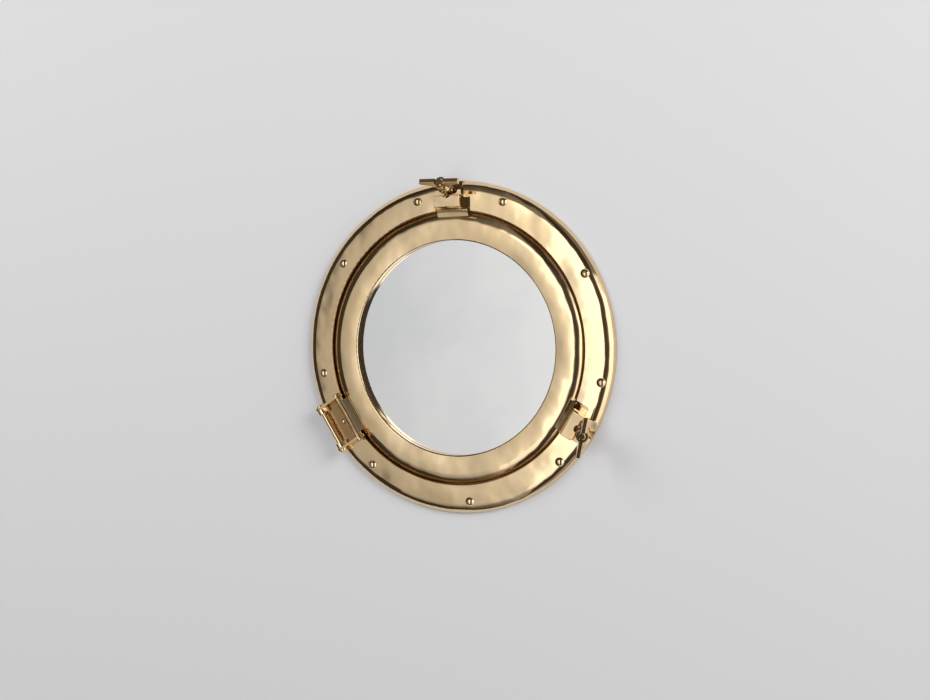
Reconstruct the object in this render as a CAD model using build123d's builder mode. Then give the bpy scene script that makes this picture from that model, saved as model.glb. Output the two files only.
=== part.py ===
# Porthole mirror in polished brass. A round mirror door hangs on a double-pivot hinge in a cast ring,
# and two swing bolts with wing nuts close it. Sizes are in millimetres.
# The origin is the ring's centre on the wall plane. The front faces -Y and +Z is up.
import os
from math import atan2, cos, degrees, hypot, radians, sin

from build123d import *

os.makedirs("parts", exist_ok=True)

# Clearances
running_gap = 0.04      # shaft in its hole, on the radius
seat_gap = 0.1          # casting brazed or screwed to another casting
lug_gap = 0.5           # between the door's lugs and the ring's face
side_gap = 0.4          # between flat faces that slide past each other

# Ring casting. Radii are from the ring's centre and heights are from the wall.
ring_radius = 190.0
rim_width = 11.0
rim_height = 9.9
ring_bore = 156.3
bore_height = 12.6
face_crown = 0.35
ring_wall = 4.0
flange_radius = 141.0
flange_thickness = 3.0
edge_round = 1.2

# Dome-headed screws around the ring, on a hand-marked circle that is a little off centre
ring_screw_angles = [107.0, 72.0, 29.5, -11.5, -45.5, -85.5, -128.5, -169.5, 146.5]
ring_screw_circle = 175.2
ring_screw_shift_x = 3.4
ring_screw_shift_z = -0.6
ring_screw_head = 10.5
ring_screw_dome = 3.4
ring_screw_rim = 0.5        # straight edge below the dome
ring_screw_seat = 0.2       # depth of the flat seat cut in the sloping face
ring_screw_shank = 4.0
ring_screw_length = 7.5

# Door casting
door_radius = 155.1
skirt_bottom = 4.6
skirt_top = 8.6
shoulder_foot = 154.5
shoulder_foot_height = 9.4
crown_radius = 144.2
crown_height = 15.2
face_rise = 0.8
lip_radius = 122.6
lip_height = 15.3
lip_round = 1.6
seat_height = 7.3
pocket_wall = 3.8
door_wall = 3.6
skirt_width = 4.8

# Mirror stack
glass_radius = 129.0
glass_thickness = 3.0
glass_gasket_thickness = 0.8
glass_gasket_width = 6.0
pocket_gap = 0.4
board_thickness = 1.5
retaining_inner = 118.0
retaining_outer = 138.6
retaining_thickness = 1.2
retaining_screw_circle = 134.4
retaining_screw_count = 6
retaining_boss = 8.4
retaining_screw_size = 3.0
retaining_screw_head = 5.4
retaining_screw_length = 8.0

# Landing gasket between the ring's flange and the door's skirt
gasket_inner = 143.0
gasket_outer = 153.6

# Hinge
hinge_angle = 212.0
outer_pin_radius = 183.0    # distance of the pin from the ring's centre
outer_pin_height = 16.3
inner_pin_radius = 156.0
inner_pin_height = 19.2
hinge_pin = 6.0
pin_head = 9.0
pin_head_height = 2.6
barrel_diameter = 9.8
barrel_length = 50.4
barrel_foot_length = 42.0
link_thickness = 2.6
link_end = 6.2              # radius of the link plates' ends
knuckle_end = 5.6
knuckle_length = 5.4
bracket_inner = 161.6
bracket_floor = 2.4
bracket_screw_radius = 166.2
bracket_screw_head = 6.5
bracket_screw_dome = 2.2
bracket_screw_shank = 3.2
bracket_screw_length = 8.0

# Lugs on the door and the swing bolts that close on them
top_angle = 92.5
lower_angle = -30.0
lug_height = 21.5
lug_end = 173.2
lug_width = 31.0
lug_arm_start = 160.8
lug_step = 157.0
lug_step_height = 17.2
lug_foot = 149.3
lug_foot_height = 15.0
lug_foot_short_side = 14.0
lug_foot_long_side = 23.5
lug_notch = 10.4
lug_notch_bottom = 170.3
pivot_radius = 175.0
pivot_height = 5.5
pivot_pin = 5.0
bolt_lean = 22.0
bolt_diameter = 8.0
bolt_length = 35.4
bolt_eye = 10.0
bolt_eye_width = 9.6
channel_width = 11.2
channel_start = 166.5
channel_floor = 3.6
channel_deep_end = 183.0
cheek_start = 174.0
cheek_height = 15.0
cheek_flat_end = 179.5
cheek_end = 189.4
cheek_end_height = 6.6
cheek_half_width = 15.5
block_half_width = 12.0
block_slot_side = 27.0      # the block is also the slot's floor
slot_floor = 4.0
block_start = 163.5
block_end = 185.0
block_bottom = 0.6
slot_width = 9.0
slot_end = 173.0
slot_offset = 0.8
slot_corner = 4.2

# Washer and wing nut. Distances are along the bolt from its pivot.
washer_start = 18.9
washer_thickness = 1.6
washer_diameter = 16.0
nut_height = 13.6
nut_foot = 16.0
nut_top = 13.4
wing_reach = 23.5
wing_thickness = 5.6
wing_top = 39.2
wing_tip_height = 5.4
wing_top_turn = -2.0        # how far the top nut's wings are turned from the tangent
wing_lower_turn = 17.0

# Hanger plates in the hollow back
hanger_spread = 30.0        # degrees either side of straight up
hanger_radius = 173.0
hanger_length = 36.0
hanger_width = 20.0
hanger_bottom = 0.6
hanger_thickness = 1.5
hanger_hole = 9.0
hanger_slot = 4.6
hanger_slot_length = 8.0
hanger_screw_spacing = 26.0
hanger_screw_size = 3.0
hanger_screw_head = 5.4
hanger_screw_length = 6.0
hanger_boss = 7.0

# Sizes that follow from these
rim_inner = ring_radius - rim_width
hollow_outer = ring_radius - ring_wall
hollow_inner = ring_bore + ring_wall
glass_front = seat_height - glass_gasket_thickness
glass_back = glass_front - glass_thickness
pocket_bottom = glass_back - board_thickness
retaining_bottom = pocket_bottom - retaining_thickness
pocket_radius = glass_radius + pocket_gap
pocket_outer = pocket_radius + pocket_wall
link_start = barrel_length / 2 + side_gap
link_outside = link_start + link_thickness
knuckle_end_face = link_start - side_gap
nut_start = washer_start + washer_thickness
through = 60.0              # longer than any hole that it cuts
front = Vector(0, -1, 0)


def radial(angle):
    return Vector(cos(radians(angle)), 0, sin(radians(angle)))


def tangent(angle):
    return Vector(sin(radians(angle)), 0, -cos(radians(angle)))


# A plane whose local x is the distance from the ring's centre and whose local y is the height from the wall
def section_at(angle, along=0.0):
    return Plane(origin=tangent(angle) * along, x_dir=radial(angle), z_dir=tangent(angle))


# A plane parallel to the wall. Local x runs outwards at the angle and local y runs against the tangent.
def plan_at(angle, height):
    return Plane(origin=front * height, x_dir=radial(angle), z_dir=front)


# Height of the ring's face at a radius, without its slight crown
def face_height(radius):
    slope = (bore_height - rim_height) / (rim_inner - ring_bore)
    return rim_height + (rim_inner - radius) * slope


# A plane that lies on the ring's sloping face at a point of the wall plane
def face_plane(x, z):
    radius = hypot(x, z)
    outward = radial(degrees(atan2(z, x)))
    slope = atan2(bore_height - rim_height, rim_inner - ring_bore)
    normal = outward * sin(slope) + front * cos(slope)
    crown = face_crown * (1 - ((radius - (rim_inner + ring_bore) / 2) / ((rim_inner - ring_bore) / 2)) ** 2)
    height = face_height(radius) + crown - ring_screw_seat
    return Plane(origin=outward * radius + front * height, z_dir=normal)


# The ring's outside shape as a solid, grown by a gap, to cut what lies on the ring
def ring_envelope(gap):
    with BuildPart() as envelope:
        with BuildSketch(section_at(0)):
            with BuildLine():
                middle = (rim_inner + ring_bore) / 2
                top = ThreePointArc((ring_bore, bore_height), (middle, face_height(middle) + face_crown),
                                    (rim_inner, rim_height))
                rim = TangentArc(top @ 1, (ring_radius, 0), tangent=top % 1)
                Polyline(rim @ 1, (ring_bore, 0), top @ 0)
            make_face()
            offset(amount=gap, kind=Kind.INTERSECTION)
        revolve(axis=Axis.Y)
    return envelope.part


# The door's outside shape as a solid, grown by a gap, to cut what is brazed to the door
def door_envelope(gap):
    with BuildPart() as envelope:
        with BuildSketch(section_at(0)):
            with BuildLine():
                middle = (lip_radius + crown_radius) / 2
                crest = (lip_height + crown_height) / 2 + face_rise
                face = ThreePointArc((lip_radius, lip_height), (middle, crest), (crown_radius, crown_height))
                shoulder = TangentArc(face @ 1, (shoulder_foot, shoulder_foot_height), tangent=face % 1)
                Polyline(shoulder @ 1, (door_radius, skirt_top), (door_radius, 0), (lip_radius, 0), face @ 0)
            make_face()
            offset(amount=gap, kind=Kind.INTERSECTION)
        revolve(axis=Axis.Y)
    return envelope.part


# A countersunk screw whose flat head lies in a plane and whose point is on the plane's normal side
def countersunk_screw(plane, out, across, head, size, length):
    with BuildPart() as screw:
        with BuildSketch(Plane.XZ):
            with BuildLine():
                Polyline(
                    (0, 0),
                    (head / 2 - running_gap, 0),
                    (size / 2 - running_gap, (head - size) / 2),
                    (size / 2 - running_gap, length - size / 4),
                    (size / 4, length),
                    (0, length),
                    close=True,
                )
            make_face()
        revolve(axis=Axis.Z)
    return (plane * Pos(out, across, 0)) * screw.part


ring_seat = ring_envelope(seat_gap)
ring_clearance = ring_envelope(lug_gap)
door_seat = door_envelope(seat_gap)

# Each closing station has its angle and the side of its lug that the open slot lies on
stations = [("top", top_angle, 1, wing_top_turn), ("lower", lower_angle, -1, wing_lower_turn)]
ring_screw_spots = [
    (ring_screw_shift_x + ring_screw_circle * cos(radians(angle)),
     ring_screw_shift_z + ring_screw_circle * sin(radians(angle)))
    for angle in ring_screw_angles
]
hanger_angles = [90.0 - hanger_spread, 90.0 + hanger_spread]
hanger_screw_spots = [(hanger_radius, -hanger_screw_spacing / 2), (hanger_radius, hanger_screw_spacing / 2)]

# Outer ring: a round bevelled rim, a sloping face, and a flange inside that the door lands on
with BuildPart() as outer_ring:
    with BuildSketch(section_at(0)) as ring_section:
        with BuildLine():
            middle = (rim_inner + ring_bore) / 2
            top = ThreePointArc((ring_bore, bore_height), (middle, face_height(middle) + face_crown),
                                (rim_inner, rim_height))
            rim = TangentArc(top @ 1, (ring_radius, 0), tangent=top % 1)
            under = Polyline(
                top @ 0,
                (ring_bore, flange_thickness),
                (flange_radius, flange_thickness),
                (flange_radius, 0),
                (hollow_inner, 0),
                (hollow_inner, face_height(hollow_inner) - ring_wall),
                (rim_inner, rim_height - ring_wall),
            )
            TangentArc((hollow_outer, 0), under @ 1, tangent=(0, 1))
            Line((hollow_outer, 0), (ring_radius, 0))
        make_face()
        fillet(ring_section.vertices().sort_by(Axis.Y)[-1], edge_round)
    revolve(axis=Axis.Y)

    # Cheeks and blocks at each swing bolt, with the channel that the bolt swings in
    for name, angle, side, turn in stations:
        with BuildSketch(section_at(angle)):
            with BuildLine():
                Polyline(
                    (cheek_start, rim_height - ring_wall / 2),
                    (cheek_start, cheek_height),
                    (cheek_flat_end, cheek_height),
                    (cheek_end, cheek_end_height),
                    (cheek_end, 1.5),
                    (hollow_outer, 1.5),
                    (rim_inner, rim_height - ring_wall / 2),
                    close=True,
                )
            make_face()
        extrude(amount=cheek_half_width, both=True)
        with BuildSketch(section_at(angle)):
            with BuildLine():
                Polyline(
                    (block_start, block_bottom),
                    (block_end, block_bottom),
                    (block_end, pivot_height),
                    (rim_inner, rim_height - ring_wall / 2),
                    (block_start, face_height(block_start) - ring_wall / 2),
                    close=True,
                )
            make_face()
        extrude(amount=block_half_width, both=True)
        floor_from = 0 if side > 0 else -block_slot_side
        with BuildSketch(section_at(angle, floor_from)):
            with BuildLine():
                Polyline(
                    (hollow_inner - 1, block_bottom),
                    (slot_end + ring_wall, block_bottom),
                    (slot_end + ring_wall, rim_height - ring_wall / 2),
                    (hollow_inner - 1, rim_height - ring_wall / 2),
                    close=True,
                )
            make_face()
        extrude(amount=block_slot_side)
        with BuildSketch(section_at(angle)):
            with BuildLine():
                Polyline(
                    (channel_start, -1),
                    (channel_deep_end, -1),
                    (channel_deep_end, channel_floor),
                    (ring_radius + 5, channel_floor),
                    (ring_radius + 5, through),
                    (channel_start, through),
                    close=True,
                )
            make_face()
        extrude(amount=channel_width / 2, both=True, mode=Mode.SUBTRACT)
        with BuildSketch(section_at(angle)):
            with Locations((pivot_radius, pivot_height)):
                Circle(pivot_pin / 2 + running_gap)
        extrude(amount=block_half_width + 1, both=True, mode=Mode.SUBTRACT)
        slot_start = 2 * ring_bore - slot_end - slot_corner
        slot_middle = side * (lug_width / 2 + slot_offset + slot_width / 2)
        with BuildSketch(plan_at(angle, slot_floor)):
            with Locations(((slot_start + slot_end) / 2, -slot_middle)):
                RectangleRounded(slot_end - slot_start, slot_width, slot_corner)
        extrude(amount=through, mode=Mode.SUBTRACT)

    # Bosses for the hanger plates' screws
    for angle in hanger_angles:
        boss_bottom = hanger_bottom + hanger_thickness
        with BuildSketch(plan_at(angle, boss_bottom)):
            with Locations(*hanger_screw_spots):
                Circle(hanger_boss / 2)
        extrude(amount=face_height(hanger_radius) - ring_wall / 2 - boss_bottom)
        with BuildSketch(plan_at(angle, boss_bottom)):
            with Locations(*hanger_screw_spots):
                Circle(hanger_screw_size / 2 + running_gap)
        extrude(amount=hanger_screw_length, mode=Mode.SUBTRACT)

    # Holes for the ring's screws and the hinge bracket's screw
    for x, z in ring_screw_spots:
        with BuildSketch(face_plane(x, z)):
            Circle(ring_screw_shank / 2 + running_gap)
        extrude(amount=-ring_screw_length - 1, mode=Mode.SUBTRACT)
        with BuildSketch(face_plane(x, z)):
            Circle(ring_screw_head / 2 + seat_gap)
        extrude(amount=ring_screw_dome, mode=Mode.SUBTRACT)
    with BuildSketch(plan_at(hinge_angle, 0)):
        with Locations((bracket_screw_radius, 0)):
            Circle(bracket_screw_shank / 2 + running_gap)
    extrude(amount=through, mode=Mode.SUBTRACT)
outer_ring.part.label = "outer_ring"
export_step(outer_ring.part, "parts/outer_ring.step")

# Ring screws: domed heads on the ring's face
screw_solids = []
for x, z in ring_screw_spots:
    with BuildPart() as ring_screw:
        with BuildSketch(Plane.XZ):
            with BuildLine():
                dome = TangentArc((0, ring_screw_dome), (ring_screw_head / 2, ring_screw_rim), tangent=(1, 0))
                Polyline(
                    dome @ 1,
                    (ring_screw_head / 2, 0),
                    (ring_screw_shank / 2, 0),
                    (ring_screw_shank / 2, -ring_screw_length),
                    (0, -ring_screw_length),
                    dome @ 0,
                )
            make_face()
        revolve(axis=Axis.Z)
    screw_solids.append(face_plane(x, z).location * ring_screw.part)
ring_screws = Compound(label="ring_screws", children=screw_solids)
export_step(ring_screws, "parts/ring_screws.step")

# Pins that the swing bolts turn on, one in each block of the ring
pin_solids = []
for name, angle, side, turn in stations:
    with BuildPart() as pivot:
        with BuildSketch(section_at(angle)):
            with Locations((pivot_radius, pivot_height)):
                Circle(pivot_pin / 2)
        extrude(amount=block_half_width - side_gap, both=True)
    pin_solids.append(pivot.part)
bolt_pivot_pins = Compound(label="bolt_pivot_pins", children=pin_solids)
export_step(bolt_pivot_pins, "parts/bolt_pivot_pins.step")

# Landing gasket on the ring's flange
with BuildPart() as landing_gasket:
    with BuildSketch(plan_at(0, flange_thickness)):
        Circle(gasket_outer)
        Circle(gasket_inner, mode=Mode.SUBTRACT)
    extrude(amount=skirt_bottom - flange_thickness)
landing_gasket.part.label = "landing_gasket"
export_step(landing_gasket.part, "parts/landing_gasket.step")

# Hanger plates with keyholes, and their countersunk screws
plate_solids = []
hanger_screw_solids = []
for angle in hanger_angles:
    hole_centre = radial(angle) * hanger_radius
    with BuildPart() as plate:
        with BuildSketch(plan_at(angle, hanger_bottom)):
            with Locations((hanger_radius, 0)):
                RectangleRounded(hanger_width, hanger_length, 3)
        extrude(amount=hanger_thickness)
        with BuildSketch(Plane(origin=hole_centre, x_dir=(1, 0, 0), z_dir=front)):
            with Locations((0, -hanger_slot_length / 2)):
                Circle(hanger_hole / 2)
            with Locations((0, 0)):
                SlotCenterToCenter(hanger_slot_length, hanger_slot, rotation=90)
        extrude(amount=through, mode=Mode.SUBTRACT)
        with BuildSketch(plan_at(angle, hanger_bottom)):
            with Locations(*hanger_screw_spots):
                Circle(hanger_screw_size / 2 + running_gap)
        extrude(amount=hanger_thickness, mode=Mode.SUBTRACT)
        hole_wires = plate.faces().sort_by(Axis.Y)[-1].inner_wires()
        hole_edges = hole_wires.edges().filter_by(GeomType.CIRCLE).filter_by(
            lambda e: e.radius < hanger_screw_size / 2 + 2 * running_gap)
        chamfer(hole_edges, (hanger_screw_head - hanger_screw_size) / 2 - running_gap)
    plate_solids.append(plate.part)
    for out, across in hanger_screw_spots:
        hanger_screw_solids.append(
            countersunk_screw(
                plan_at(angle, hanger_bottom),
                out, across, hanger_screw_head, hanger_screw_size, hanger_screw_length,
            )
        )
hanger_plates = Compound(label="hanger_plates", children=plate_solids)
export_step(hanger_plates, "parts/hanger_plates.step")
hanger_screws = Compound(label="hanger_screws", children=hanger_screw_solids)
export_step(hanger_screws, "parts/hanger_screws.step")

# Hinge bracket: a floor on the ring's face and two knuckles for the outer pin
with BuildPart() as hinge_bracket:
    with BuildSketch(section_at(hinge_angle)):
        with BuildLine():
            Polyline(
                (bracket_inner, rim_height - ring_wall),
                (bracket_inner, face_height(bracket_inner) + bracket_floor),
                (outer_pin_radius, face_height(outer_pin_radius) + bracket_floor),
                (outer_pin_radius, rim_height - ring_wall),
                close=True,
            )
        make_face()
    extrude(amount=knuckle_end_face, both=True)
    for along in (-knuckle_end_face, knuckle_end_face - knuckle_length):
        with BuildSketch(section_at(hinge_angle, along)):
            with Locations((outer_pin_radius, outer_pin_height)):
                Circle(knuckle_end)
            with BuildLine():
                Polyline(
                    (outer_pin_radius - 2 * knuckle_end, rim_height - ring_wall),
                    (outer_pin_radius - 2 * knuckle_end, face_height(rim_inner) + bracket_floor),
                    (outer_pin_radius - knuckle_end * cos(radians(45)),
                     outer_pin_height + knuckle_end * sin(radians(45))),
                    (outer_pin_radius + knuckle_end, outer_pin_height),
                    (outer_pin_radius + knuckle_end, rim_height - ring_wall),
                    close=True,
                )
            make_face()
        extrude(amount=knuckle_length)
    add(ring_seat, mode=Mode.SUBTRACT)
    with BuildSketch(section_at(hinge_angle)):
        with Locations((outer_pin_radius, outer_pin_height)):
            Circle(hinge_pin / 2 + running_gap)
    extrude(amount=barrel_length, both=True, mode=Mode.SUBTRACT)
    with BuildSketch(plan_at(hinge_angle, 0)):
        with Locations((bracket_screw_radius, 0)):
            Circle(bracket_screw_shank / 2 + running_gap)
    extrude(amount=through, mode=Mode.SUBTRACT)
hinge_bracket.part.label = "hinge_bracket"
export_step(hinge_bracket.part, "parts/hinge_bracket.step")

# The screw that holds the bracket to the ring
bracket_screw_seat = face_height(bracket_screw_radius) + bracket_floor
screw_axis = radial(hinge_angle) * bracket_screw_radius + front * bracket_screw_seat
bracket_screw_plane = Plane(origin=screw_axis, x_dir=radial(hinge_angle), z_dir=tangent(hinge_angle))
with BuildPart() as hinge_bracket_screw:
    with BuildSketch(bracket_screw_plane):
        with BuildLine():
            seat_lift = bracket_screw_head / 2 * (bore_height - rim_height) / (rim_inner - ring_bore)
            dome = TangentArc(
                (0, seat_lift + bracket_screw_dome),
                (bracket_screw_head / 2, seat_lift + ring_screw_rim),
                tangent=(1, 0),
            )
            Polyline(
                dome @ 1,
                (bracket_screw_head / 2, seat_lift),
                (bracket_screw_shank / 2, seat_lift),
                (bracket_screw_shank / 2, -bracket_screw_length),
                (0, -bracket_screw_length),
                dome @ 0,
            )
        make_face()
    revolve(axis=Axis(screw_axis, front))
hinge_bracket_screw.part.label = "hinge_bracket_screw"
export_step(hinge_bracket_screw.part, "parts/hinge_bracket_screw.step")

# Link plates at both ends of the hinge, from the outer pin to the inner pin
link_length = hypot(outer_pin_radius - inner_pin_radius, outer_pin_height - inner_pin_height)
link_tilt = degrees(atan2(outer_pin_height - inner_pin_height, outer_pin_radius - inner_pin_radius))
link_middle = ((outer_pin_radius + inner_pin_radius) / 2, (outer_pin_height + inner_pin_height) / 2)
hinge_pin_spots = [(outer_pin_radius, outer_pin_height), (inner_pin_radius, inner_pin_height)]
link_solids = []
for along in (-link_outside, link_start):
    with BuildPart() as link_plate:
        with BuildSketch(section_at(hinge_angle, along)):
            with Locations(link_middle):
                SlotCenterToCenter(link_length, 2 * link_end, rotation=link_tilt)
            with Locations(*hinge_pin_spots):
                Circle(hinge_pin / 2 + running_gap, mode=Mode.SUBTRACT)
        extrude(amount=link_thickness)
    link_solids.append(link_plate.part)
link_plates = Compound(label="link_plates", children=link_solids)
export_step(link_plates, "parts/link_plates.step")

# Hinge pins with a round head outside each link plate
for pin_name, spot in (("outer_hinge_pin", hinge_pin_spots[0]), ("inner_hinge_pin", hinge_pin_spots[1])):
    with BuildPart() as hinge_pin_part:
        with BuildSketch(section_at(hinge_angle)):
            with Locations(spot):
                Circle(hinge_pin / 2)
        extrude(amount=link_outside, both=True)
        for along in (-link_outside - pin_head_height, link_outside):
            with BuildSketch(section_at(hinge_angle, along)):
                with Locations(spot):
                    Circle(pin_head / 2)
            extrude(amount=pin_head_height)
        ends = hinge_pin_part.faces().filter_by(lambda f: abs(abs(f.center().dot(tangent(hinge_angle)))
                                                              - link_outside - pin_head_height) < 0.01)
        fillet(ends.edges(), pin_head_height / 2)
    hinge_pin_part.part.label = pin_name
    export_step(hinge_pin_part.part, f"parts/{pin_name}.step")

# Door ring: a crowned face between the lip around the mirror and the shoulder at its edge
with BuildPart() as door_ring:
    with BuildSketch(section_at(0)) as door_section:
        with BuildLine():
            middle = (lip_radius + crown_radius) / 2
            crest = (lip_height + crown_height) / 2 + face_rise
            face = ThreePointArc((lip_radius, lip_height), (middle, crest), (crown_radius, crown_height))
            shoulder = TangentArc(face @ 1, (shoulder_foot, shoulder_foot_height), tangent=face % 1)
            Polyline(
                shoulder @ 1,
                (door_radius, skirt_top),
                (door_radius, skirt_bottom),
                (door_radius - skirt_width, skirt_bottom),
                (door_radius - skirt_width, skirt_top - door_wall / 4),
                (crown_radius - door_wall / 2, crown_height - door_wall),
                (pocket_outer, crown_height - door_wall),
                (pocket_outer, pocket_bottom),
                (pocket_radius, pocket_bottom),
                (pocket_radius, seat_height),
                (lip_radius, seat_height),
                face @ 0,
            )
        make_face()
        fillet(door_section.vertices().group_by(Axis.X)[0].sort_by(Axis.Y)[-1], lip_round)
    revolve(axis=Axis.Y)
    with BuildSketch(plan_at(0, pocket_bottom)):
        with PolarLocations(retaining_screw_circle, retaining_screw_count):
            Circle(retaining_boss / 2)
    extrude(amount=crown_height - door_wall / 2 - pocket_bottom)
    with BuildSketch(plan_at(0, 0)):
        with PolarLocations(retaining_screw_circle, retaining_screw_count):
            Circle(retaining_screw_size / 2 + running_gap)
    extrude(amount=pocket_bottom + retaining_screw_length, mode=Mode.SUBTRACT)
door_ring.part.label = "door_ring"
export_step(door_ring.part, "parts/door_ring.step")

# Hinge barrel and the sloping foot that joins it to the door's shoulder
with BuildPart() as hinge_barrel:
    with BuildSketch(section_at(hinge_angle)):
        with BuildLine():
            Polyline(
                (crown_radius + 1.2, crown_height - door_wall),
                (crown_radius + 1.2, crown_height + 0.6),
                (inner_pin_radius - barrel_diameter * 0.34, inner_pin_height + barrel_diameter * 0.3),
                (inner_pin_radius, inner_pin_height),
                (door_radius - 0.6, inner_pin_height - barrel_diameter * 0.3),
                (door_radius - 0.6, skirt_top),
                close=True,
            )
        make_face()
    extrude(amount=barrel_foot_length / 2, both=True)
    add(door_seat, mode=Mode.SUBTRACT)
    with BuildSketch(section_at(hinge_angle)):
        with Locations((inner_pin_radius, inner_pin_height)):
            Circle(barrel_diameter / 2)
    extrude(amount=barrel_length / 2, both=True)
    add(ring_clearance, mode=Mode.SUBTRACT)
    with BuildSketch(section_at(hinge_angle)):
        with Locations((inner_pin_radius, inner_pin_height)):
            Circle(hinge_pin / 2 + running_gap)
    extrude(amount=barrel_length, both=True, mode=Mode.SUBTRACT)
hinge_barrel.part.label = "hinge_barrel"
export_step(hinge_barrel.part, "parts/hinge_barrel.step")

# Lugs: a foot with two sloping faces on the door's shoulder, and an arm over the ring's face
for name, angle, side, turn in stations:
    with BuildPart() as lug:
        foot_from = -lug_foot_short_side if side > 0 else -lug_foot_long_side
        with BuildSketch(section_at(angle, foot_from)):
            with BuildLine():
                Polyline(
                    (lug_foot, crown_height - door_wall),
                    (lug_foot, lug_foot_height),
                    (lug_step, lug_step_height),
                    (lug_step, crown_height - door_wall),
                    close=True,
                )
            make_face()
        extrude(amount=lug_foot_short_side + lug_foot_long_side)
        with BuildSketch(section_at(angle)):
            with BuildLine():
                Polyline(
                    (lug_step - 1, skirt_top),
                    (lug_step - 1, lug_step_height - 1),
                    (lug_step, lug_step_height),
                    (lug_arm_start, lug_height),
                    (lug_end, lug_height),
                    (lug_end, rim_height),
                    close=True,
                )
            make_face()
        extrude(amount=lug_width / 2, both=True)
        top_edges = lug.edges().filter_by(GeomType.LINE).filter_by(
            lambda e: abs(e.center().dot(front) - lug_height) < 0.01)
        fillet(top_edges, 0.7)
        with BuildSketch(plan_at(angle, 0)):
            with BuildLine():
                notch = ThreePointArc(
                    (lug_notch_bottom + lug_notch / 2, lug_notch / 2),
                    (lug_notch_bottom, 0),
                    (lug_notch_bottom + lug_notch / 2, -lug_notch / 2),
                )
                Polyline(notch @ 1, (ring_radius, -lug_notch / 2), (ring_radius, lug_notch / 2), notch @ 0)
            make_face()
        extrude(amount=through, mode=Mode.SUBTRACT)
        add(door_seat, mode=Mode.SUBTRACT)
        add(ring_clearance, mode=Mode.SUBTRACT)
    lug.part.label = f"lug_{name}"
    export_step(lug.part, f"parts/lug_{name}.step")

# The gasket in front of the glass, the glass, and the board behind it
with BuildPart() as glass_gasket:
    with BuildSketch(plan_at(0, glass_front)):
        Circle(glass_radius)
        Circle(glass_radius - glass_gasket_width, mode=Mode.SUBTRACT)
    extrude(amount=glass_gasket_thickness)
glass_gasket.part.label = "glass_gasket"
export_step(glass_gasket.part, "parts/glass_gasket.step")

with BuildPart() as mirror_glass:
    with BuildSketch(plan_at(0, glass_back)):
        Circle(glass_radius)
    extrude(amount=glass_thickness)
mirror_glass.part.label = "mirror_glass"
export_step(mirror_glass.part, "parts/mirror_glass.step")

with BuildPart() as backing_board:
    with BuildSketch(plan_at(0, pocket_bottom)):
        Circle(glass_radius)
    extrude(amount=board_thickness)
backing_board.part.label = "backing_board"
export_step(backing_board.part, "parts/backing_board.step")

# Retaining ring with countersunk holes, and its screws
with BuildPart() as retaining_ring:
    with BuildSketch(plan_at(0, retaining_bottom)):
        Circle(retaining_outer)
        Circle(retaining_inner, mode=Mode.SUBTRACT)
    extrude(amount=retaining_thickness)
    with BuildSketch(plan_at(0, retaining_bottom)):
        with PolarLocations(retaining_screw_circle, retaining_screw_count):
            Circle(retaining_screw_size / 2 + running_gap)
    extrude(amount=retaining_thickness, mode=Mode.SUBTRACT)
    rims = retaining_ring.faces().sort_by(Axis.Y)[-1].inner_wires()
    hole_edges = rims.edges().filter_by(lambda e: e.radius < retaining_screw_head)
    chamfer(hole_edges, (retaining_screw_head - retaining_screw_size) / 2 - running_gap)
retaining_ring.part.label = "retaining_ring"
export_step(retaining_ring.part, "parts/retaining_ring.step")

retaining_screws = Compound(
    label="retaining_screws",
    children=[
        countersunk_screw(
            plan_at(spot * 360 / retaining_screw_count, retaining_bottom),
            retaining_screw_circle, 0, retaining_screw_head, retaining_screw_size, retaining_screw_length,
        )
        for spot in range(retaining_screw_count)
    ],
)
export_step(retaining_screws, "parts/retaining_screws.step")

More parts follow.
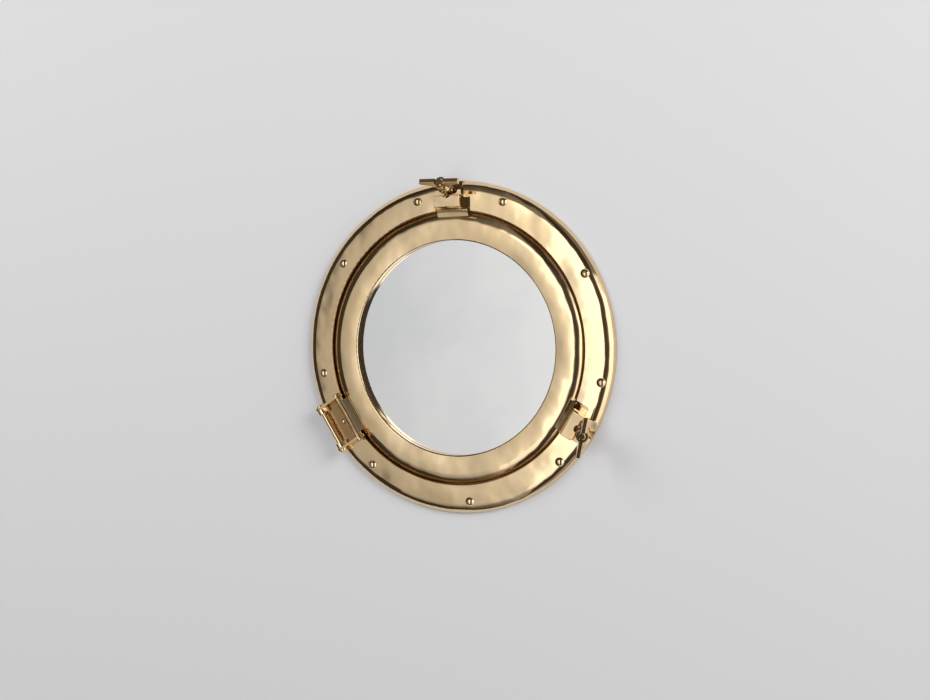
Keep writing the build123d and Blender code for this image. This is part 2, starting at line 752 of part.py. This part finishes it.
# Swing bolts, washers and wing nuts, leaning outwards from their pivots
for name, angle, side, turn in stations:
    pivot_point = radial(angle) * pivot_radius + front * pivot_height
    bolt_axis = radial(angle) * sin(radians(bolt_lean)) + front * cos(radians(bolt_lean))
    along = tangent(angle) * side
    across = bolt_axis.cross(along)

    with BuildPart() as swing_bolt:
        with BuildSketch(section_at(angle)):
            with Locations((pivot_radius, pivot_height)):
                Circle(bolt_eye / 2)
        extrude(amount=bolt_eye_width / 2, both=True)
        with BuildSketch(Plane(origin=pivot_point, x_dir=along, z_dir=bolt_axis)):
            Circle(bolt_diameter / 2)
        extrude(amount=bolt_length)
        tip = swing_bolt.faces().sort_by(Axis(pivot_point, bolt_axis))[-1]
        chamfer(tip.edges(), bolt_diameter / 10)
        with BuildSketch(section_at(angle)):
            with Locations((pivot_radius, pivot_height)):
                Circle(pivot_pin / 2 + running_gap)
        extrude(amount=bolt_eye_width, both=True, mode=Mode.SUBTRACT)
    swing_bolt.part.label = f"swing_bolt_{name}"
    export_step(swing_bolt.part, f"parts/swing_bolt_{name}.step")

    with BuildPart() as washer:
        with BuildSketch(Plane(origin=pivot_point + bolt_axis * washer_start, x_dir=along, z_dir=bolt_axis)):
            Circle(washer_diameter / 2)
            Circle(bolt_diameter / 2 + 2 * running_gap, mode=Mode.SUBTRACT)
        extrude(amount=washer_thickness)
    washer.part.label = f"washer_{name}"
    export_step(washer.part, f"parts/washer_{name}.step")

    wing_dir = along * cos(radians(turn)) + across * sin(radians(turn))
    wing_plane = Plane(origin=pivot_point, x_dir=wing_dir, z_dir=wing_dir.cross(bolt_axis))
    with BuildPart() as wing_nut:
        with BuildSketch(wing_plane):
            with BuildLine():
                hub_side = Spline(
                    (nut_foot / 2, nut_start + 2.4),
                    (nut_top / 2 - 0.3, nut_start + nut_height * 0.55),
                    (nut_top / 2, nut_start + nut_height),
                )
                Polyline(
                    hub_side @ 1,
                    (0, nut_start + nut_height),
                    (0, nut_start),
                    (nut_foot / 2, nut_start),
                    hub_side @ 0,
                )
            make_face()
        revolve(axis=Axis(pivot_point, bolt_axis))
        with BuildSketch(wing_plane):
            with BuildLine():
                wing_inner = nut_top / 2 - 1.6
                top_edge = Line((wing_inner, wing_top), (wing_reach, wing_top))
                tip_edge = Line(top_edge @ 1, (wing_reach, wing_top - wing_tip_height))
                under_edge = Spline(
                    tip_edge @ 1,
                    (wing_reach * 0.66, wing_top - wing_tip_height - 1.6),
                    (nut_foot / 2 - 1, nut_start + 2.6),
                )
                Line(under_edge @ 1, top_edge @ 0)
            make_face()
            mirror(about=Plane.YZ)
        extrude(amount=wing_thickness / 2, both=True)
        top_edges = wing_nut.edges().filter_by(Axis(pivot_point, wing_dir)).group_by(Axis(pivot_point, bolt_axis))[-1]
        fillet(top_edges, 0.8)
        with BuildSketch(Plane(origin=pivot_point, x_dir=along, z_dir=bolt_axis)):
            Circle(bolt_diameter / 2 + running_gap)
        extrude(amount=through, mode=Mode.SUBTRACT)
    wing_nut.part.label = f"wing_nut_{name}"
    export_step(wing_nut.part, f"parts/wing_nut_{name}.step")
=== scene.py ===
import math

import bpy
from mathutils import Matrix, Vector

# a polished brass porthole with a mirror in its door, hung on a plain pale wall
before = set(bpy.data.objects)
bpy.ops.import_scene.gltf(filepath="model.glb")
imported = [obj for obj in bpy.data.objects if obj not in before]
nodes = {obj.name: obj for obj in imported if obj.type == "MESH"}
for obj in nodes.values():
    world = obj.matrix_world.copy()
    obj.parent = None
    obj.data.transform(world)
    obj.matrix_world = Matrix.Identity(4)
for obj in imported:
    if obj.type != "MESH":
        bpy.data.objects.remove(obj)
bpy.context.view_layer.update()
bpy.ops.object.select_all(action="DESELECT")
bpy.context.scene.view_settings.view_transform = "Standard"
print("frame loaded:", len(nodes), "nodes")


class Value:
    # one node's output; Python's operators on it add Math nodes
    def __init__(self, shader, socket):
        self.shader = shader
        self.socket = socket

    def math(self, operation, *values):
        return self.shader.node("ShaderNodeMath", dict(enumerate(values)), operation=operation)

    def __add__(self, other):
        return self.math("ADD", self, other)

    def __radd__(self, other):
        return self.math("ADD", other, self)

    def __sub__(self, other):
        return self.math("SUBTRACT", self, other)

    def __rsub__(self, other):
        return self.math("SUBTRACT", other, self)

    def __mul__(self, other):
        return self.math("MULTIPLY", self, other)

    def __rmul__(self, other):
        return self.math("MULTIPLY", other, self)

    def __truediv__(self, other):
        return self.math("DIVIDE", self, other)

    def __lt__(self, other):
        return self.math("LESS_THAN", self, other)


class Shader:
    # adds nodes to one material's or world's tree
    def __init__(self, tree):
        self.tree = tree
        tree.nodes.clear()

    def node(self, kind, inputs=None, output=0, **settings):
        made = self.tree.nodes.new(kind)
        stops = settings.pop("stops", [])
        for name, value in settings.items():
            setattr(made, name, value)
        for index, (place, level) in enumerate(stops):
            elements = made.color_ramp.elements
            element = elements[index] if index < 2 else elements.new(place)
            element.position = place
            element.color = (level, level, level, 1)
        for key, value in (inputs or {}).items():
            if isinstance(value, Value):
                self.tree.links.new(value.socket, made.inputs[key])
            else:
                made.inputs[key].default_value = value
        return Value(self, made.outputs[output]) if made.outputs else None

    def ramp(self, value, *stops):
        return self.node("ShaderNodeValToRGB", {0: value}, stops=stops)

    def mix(self, factor, first, second):
        return self.node("ShaderNodeMix", {0: factor, 6: first, 7: second}, output=2, data_type="RGBA")

    def noise(self, place, scale, detail=2.0, roughness=0.5):
        inputs = {"Vector": place, "Scale": scale, "Detail": detail, "Roughness": roughness}
        return self.node("ShaderNodeTexNoise", inputs)

    def finish(self, kind, surface):
        self.node(kind, {"Surface": surface})


# the camera stands to the right of the mirror and a little above its centre; angles are in degrees
cameraLook = {
    "azimuth": 23.3,
    "elevation": 2.6,
    "distance": 2.5,
    "lens": 84.6,
    "shiftX": 0.0058,
    "shiftY": -0.0027,
}


def directionTo(azimuth, elevation):
    a, e = math.radians(azimuth), math.radians(elevation)
    return Vector((math.sin(a) * math.cos(e), -math.cos(a) * math.cos(e), math.sin(e)))


def makeCamera(look):
    back = directionTo(look["azimuth"], look["elevation"])
    data = bpy.data.cameras.new("camera")
    data.lens = look["lens"]
    data.shift_x = look["shiftX"]
    data.shift_y = look["shiftY"]
    camera = bpy.data.objects.new("camera", data)
    bpy.context.scene.collection.objects.link(camera)
    camera.location = back * look["distance"]
    camera.rotation_mode = "QUATERNION"
    camera.rotation_quaternion = (-back).to_track_quat("-Z", "Y")
    bpy.context.scene.camera = camera


makeCamera(cameraLook)
print("camera placed")

# the wall is clear from behind, and inside the ring's edge it lets light through to the hollow back
wallLook = {
    "size": 8.0,
    "offset": 0.0006,
    "colour": (0.66, 0.66, 0.675, 1),
    "openRadius": 0.187,
}


def makeWall(look):
    upright = (math.pi / 2, 0, 0)
    bpy.ops.mesh.primitive_plane_add(size=look["size"], location=(0, look["offset"], 0), rotation=upright)
    wall = bpy.context.object
    wall.name = "wall"
    material = bpy.data.materials.new("paleWall")
    material.use_nodes = True
    shader = Shader(material.node_tree)
    place = shader.node("ShaderNodeTexCoord", output=3)
    fromCentre = shader.node("ShaderNodeVectorMath", {0: place}, output=1, operation="LENGTH")
    cameraRay = shader.node("ShaderNodeLightPath")
    behind = shader.node("ShaderNodeNewGeometry", output=6)
    lightHole = (fromCentre < look["openRadius"]) * (1 - cameraRay)
    unseen = behind.math("MAXIMUM", behind, lightHole)
    paint = shader.node("ShaderNodeBsdfDiffuse", {"Color": look["colour"]})
    clear = shader.node("ShaderNodeBsdfTransparent")
    surface = shader.node("ShaderNodeMixShader", {0: unseen, 1: paint, 2: clear})
    shader.finish("ShaderNodeOutputMaterial", surface)
    wall.data.materials.append(material)
    wall.select_set(False)


makeWall(wallLook)
print("wall made")

# what the brass reflects: a pale room in front, a window to the right, and dark sides, floor and ceiling.
# each stop is an angle in degrees and a brightness, and the two rows are multiplied
roomLook = {
    "backdrop": 0.8,
    "dark": (0.035, 0.026, 0.018, 1),
    "azimuthPeak": 2.5,
    "elevationPeak": 1.25,
    "azimuthStops": [
        (-180, 0.75), (-130, 0.6),                                      # behind the wall, seen by the back alone
        (-116, 0.02), (-50, 0.01),                                      # dark left side
        (-42, 0.40), (-38, 0.50), (-30, 0.56), (-18, 0.84), (-13, 1.05), (-10, 1.7), (6, 1.9),
        (11, 0.04), (32, 0.02), (46, 0.12),                             # dark where the camera stands
        (52, 1.6), (98, 1.6),                                           # window
        (108, 0.1), (130, 0.6), (180, 0.75),
    ],
    "elevationStops": [(-90, 0.12), (-55, 0.18), (-44, 0.55), (-18, 0.85), (0, 1.0), (24, 1.1), (32, 0.12),
                       (90, 0.03)],
}
lampLook = [
    {"name": "windowLamp", "azimuth": 55, "elevation": 25, "distance": 3.0, "size": 1.6, "power": 50},
    {"name": "leftLamp", "azimuth": -50, "elevation": 30, "distance": 3.0, "size": 1.8, "power": 40},
    {"name": "backLamp", "azimuth": 200, "elevation": 30, "distance": 3.0, "size": 2.0, "power": 40},
]


def makeRoom(look):
    world = bpy.data.worlds.new("room")
    world.use_nodes = True
    bpy.context.scene.world = world
    shader = Shader(world.node_tree)
    split = {0: shader.node("ShaderNodeTexCoord")}
    x = shader.node("ShaderNodeSeparateXYZ", split, output=0)
    y = shader.node("ShaderNodeSeparateXYZ", split, output=1)
    z = shader.node("ShaderNodeSeparateXYZ", split, output=2)
    azimuth = x.math("ARCTAN2", x, y * -1.0) / (2 * math.pi) + 0.5
    elevation = z.math("ARCSINE", z) / math.pi + 0.5
    azimuthPeak, elevationPeak = look["azimuthPeak"], look["elevationPeak"]
    azimuthStops = [((angle + 180) / 360, level / azimuthPeak) for angle, level in look["azimuthStops"]]
    elevationStops = [((angle + 90) / 180, level / elevationPeak) for angle, level in look["elevationStops"]]
    glow = shader.ramp(azimuth, *azimuthStops) * shader.ramp(elevation, *elevationStops)
    brightest = azimuthPeak * elevationPeak
    room = shader.mix(glow, look["dark"], (brightest, brightest, brightest, 1))
    seen = shader.mix(shader.node("ShaderNodeLightPath"), room, (look["backdrop"],) * 3 + (1,))
    glowing = shader.node("ShaderNodeBackground", {"Color": seen, "Strength": 1.0})
    shader.finish("ShaderNodeOutputWorld", glowing)


def makeLamp(look):
    data = bpy.data.lights.new(look["name"], "AREA")
    data.shape = "DISK"
    data.size = look["size"]
    data.energy = look["power"]
    lamp = bpy.data.objects.new(look["name"], data)
    bpy.context.scene.collection.objects.link(lamp)
    towards = directionTo(look["azimuth"], look["elevation"])
    lamp.location = towards * look["distance"]
    lamp.rotation_mode = "QUATERNION"
    lamp.rotation_quaternion = (-towards).to_track_quat("-Z", "Y")
    lamp.visible_camera = False
    lamp.visible_glossy = False


makeRoom(roomLook)
for look in lampLook:
    makeLamp(look)
print("room lit")

# polished brass: slow swells from hand polishing, fine wipe marks, and a dark brown band in the crease round the
# door that is painted shade and also tarnish.
# a scale is a number of blotches to the metre
brassLook = {
    "pale": (0.89, 0.685, 0.42, 1),
    "warm": (0.84, 0.60, 0.32, 1),
    # the crease band's colour: painted shade in the groove round the door, and tarnish
    "shadeAndTarnish": (0.30, 0.16, 0.055, 1),
    "warmStops": [(0.42, 0.0), (0.75, 0.6)],
    "creaseRadius": 0.1557,
    "creaseWidth": 0.0022,
    "creaseRaggedness": 0.8,
    "creaseStops": [(0.35, 0.85), (1.0, 0.0)],
    "roughness": (0.06, 0.15),
    "shadeAndTarnishRoughness": 0.35,
    "cloudScale": 18.0,
    "smearScale": 90.0,
    "smearShare": 0.7,
    "wipeScale": 420.0,
    "wipeShare": 0.3,
    "swellScale": 20.0,
    "swellHeight": 0.006,
    "waviness": 0.6,
}
turnedLook = dict(brassLook, waviness=0.12)
# the bracket's floor is painted browner: a painted reflection of the brass walls round it
bracketPaintedReflectionLook = dict(brassLook, creaseRadius=0.168, creaseWidth=0.013, shadeAndTarnish=(0.46, 0.25, 0.085, 1),
                   shadeAndTarnishRoughness=0.08, waviness=0.3)


def makeBrass(name, look):
    material = bpy.data.materials.new(name)
    material.use_nodes = True
    shader = Shader(material.node_tree)
    place = shader.node("ShaderNodeTexCoord", output=3)
    flat = shader.node("ShaderNodeVectorMath", {0: place, 1: (1, 0, 1)}, operation="MULTIPLY")
    radius = shader.node("ShaderNodeVectorMath", {0: flat}, output=1, operation="LENGTH")
    cloud = shader.noise(place, look["cloudScale"], 3.0)
    smear = shader.noise(place, look["smearScale"], 4.0, 0.6)
    wipe = shader.noise(place, look["wipeScale"], 2.0)
    colour = shader.mix(shader.ramp(cloud, *look["warmStops"]), look["pale"], look["warm"])
    # a ring-shaped mask round the centre, where painted shade and tarnish darken the crease
    offCrease = radius.math("ABSOLUTE", radius - look["creaseRadius"]) / look["creaseWidth"]
    ragged = offCrease + (cloud - 0.5) * look["creaseRaggedness"]
    crease = shader.ramp(ragged, *look["creaseStops"])
    low, high = look["roughness"]
    polish = low + (smear * look["smearShare"] + wipe * look["wipeShare"]) * (high - low)
    swell = shader.noise(place, look["swellScale"], 2.0, 0.35)
    bump = shader.node("ShaderNodeBump", {
        "Strength": look["waviness"], "Distance": look["swellHeight"], "Height": swell})
    metal = shader.node("ShaderNodeBsdfPrincipled", {
        "Base Color": shader.mix(crease, colour, look["shadeAndTarnish"]), "Metallic": 1.0,
        "Roughness": polish + crease * look["shadeAndTarnishRoughness"], "Normal": bump})
    shader.finish("ShaderNodeOutputMaterial", metal)
    return material


# the fittings that don't shine, each with its grain
rubberLook = {
    "colour": (0.03, 0.03, 0.03, 1),
    "roughness": 0.7,
    "metallic": 0.0,
    "grainScale": 300.0,
    "grainStrength": 0.3,
}
zincLook = {
    "colour": (0.66, 0.67, 0.68, 1),
    "roughness": 0.32,
    "metallic": 1.0,
    "grainScale": 400.0,
    "grainStrength": 0.1,
}
boardLook = {
    "colour": (0.30, 0.19, 0.11, 1),
    "roughness": 0.75,
    "metallic": 0.0,
    "grainScale": 250.0,
    "grainStrength": 0.6,
}
grainHeight = 0.0003
grainShade = 0.75       # how dark the grain's low places are


def makePlain(name, look):
    material = bpy.data.materials.new(name)
    material.use_nodes = True
    shader = Shader(material.node_tree)
    place = shader.node("ShaderNodeTexCoord", output=3)
    grain = shader.noise(place, look["grainScale"], 4.0, 0.6)
    darker = tuple(level * grainShade for level in look["colour"][:3]) + (1,)
    bump = shader.node("ShaderNodeBump", {
        "Strength": look["grainStrength"], "Distance": grainHeight, "Height": grain})
    body = shader.node("ShaderNodeBsdfPrincipled", {
        "Base Color": shader.mix(grain, darker, look["colour"]), "Metallic": look["metallic"],
        "Roughness": look["roughness"], "Normal": bump})
    shader.finish("ShaderNodeOutputMaterial", body)
    return material


# the silver is a little cloudy, and duller towards the hinge side
mirrorLook = {
    "clear": (0.95, 0.955, 0.955, 1),
    "cloudy": (0.83, 0.845, 0.855, 1),
    "cloudScale": 9.0,
    "slope": 1.6,           # how fast it clears from left to right, to the metre
    "cloudyRoughness": 0.03,
    "clearRoughness": 0.015,
}


def makeMirror(look):
    material = bpy.data.materials.new("silveredGlass")
    material.use_nodes = True
    shader = Shader(material.node_tree)
    place = shader.node("ShaderNodeTexCoord", output=3)
    across = shader.node("ShaderNodeSeparateXYZ", {0: place})
    cloud = shader.noise(place, look["cloudScale"], 4.0, 0.55)
    clearness = shader.ramp(cloud + across * look["slope"], (0.3, 0.0), (0.7, 1.0))
    polish = look["cloudyRoughness"] - clearness * (look["cloudyRoughness"] - look["clearRoughness"])
    silver = shader.node("ShaderNodeBsdfPrincipled", {
        "Base Color": shader.mix(clearness, look["cloudy"], look["clear"]), "Metallic": 1.0,
        "Roughness": polish})
    shader.finish("ShaderNodeOutputMaterial", silver)
    return material


castBrass = makeBrass("castBrass", brassLook)
turnedBrass = makeBrass("turnedBrass", turnedLook)
# the bracket's brass, with a painted brown reflection on its floor
bracketBrassPaintedReflection = makeBrass("bracketBrassPaintedReflection", bracketPaintedReflectionLook)
blackRubber = makePlain("blackRubber", rubberLook)
zincSteel = makePlain("zincSteel", zincLook)
hardboard = makePlain("hardboard", boardLook)
silveredGlass = makeMirror(mirrorLook)

# what isn't named here is turned brass
finishes = {
    "outer_ring": castBrass, "door_ring": castBrass, "lug_top": castBrass, "lug_lower": castBrass,
    "mirror_glass": silveredGlass, "landing_gasket": blackRubber, "glass_gasket": blackRubber,
    "hanger_plates": zincSteel, "hanger_screws": zincSteel, "retaining_screws": zincSteel,
    "backing_board": hardboard, "hinge_bracket": bracketBrassPaintedReflection,
}
for name, node in nodes.items():
    node.data.materials.clear()
    node.data.materials.append(finishes.get(name, turnedBrass))
print("finishes given")
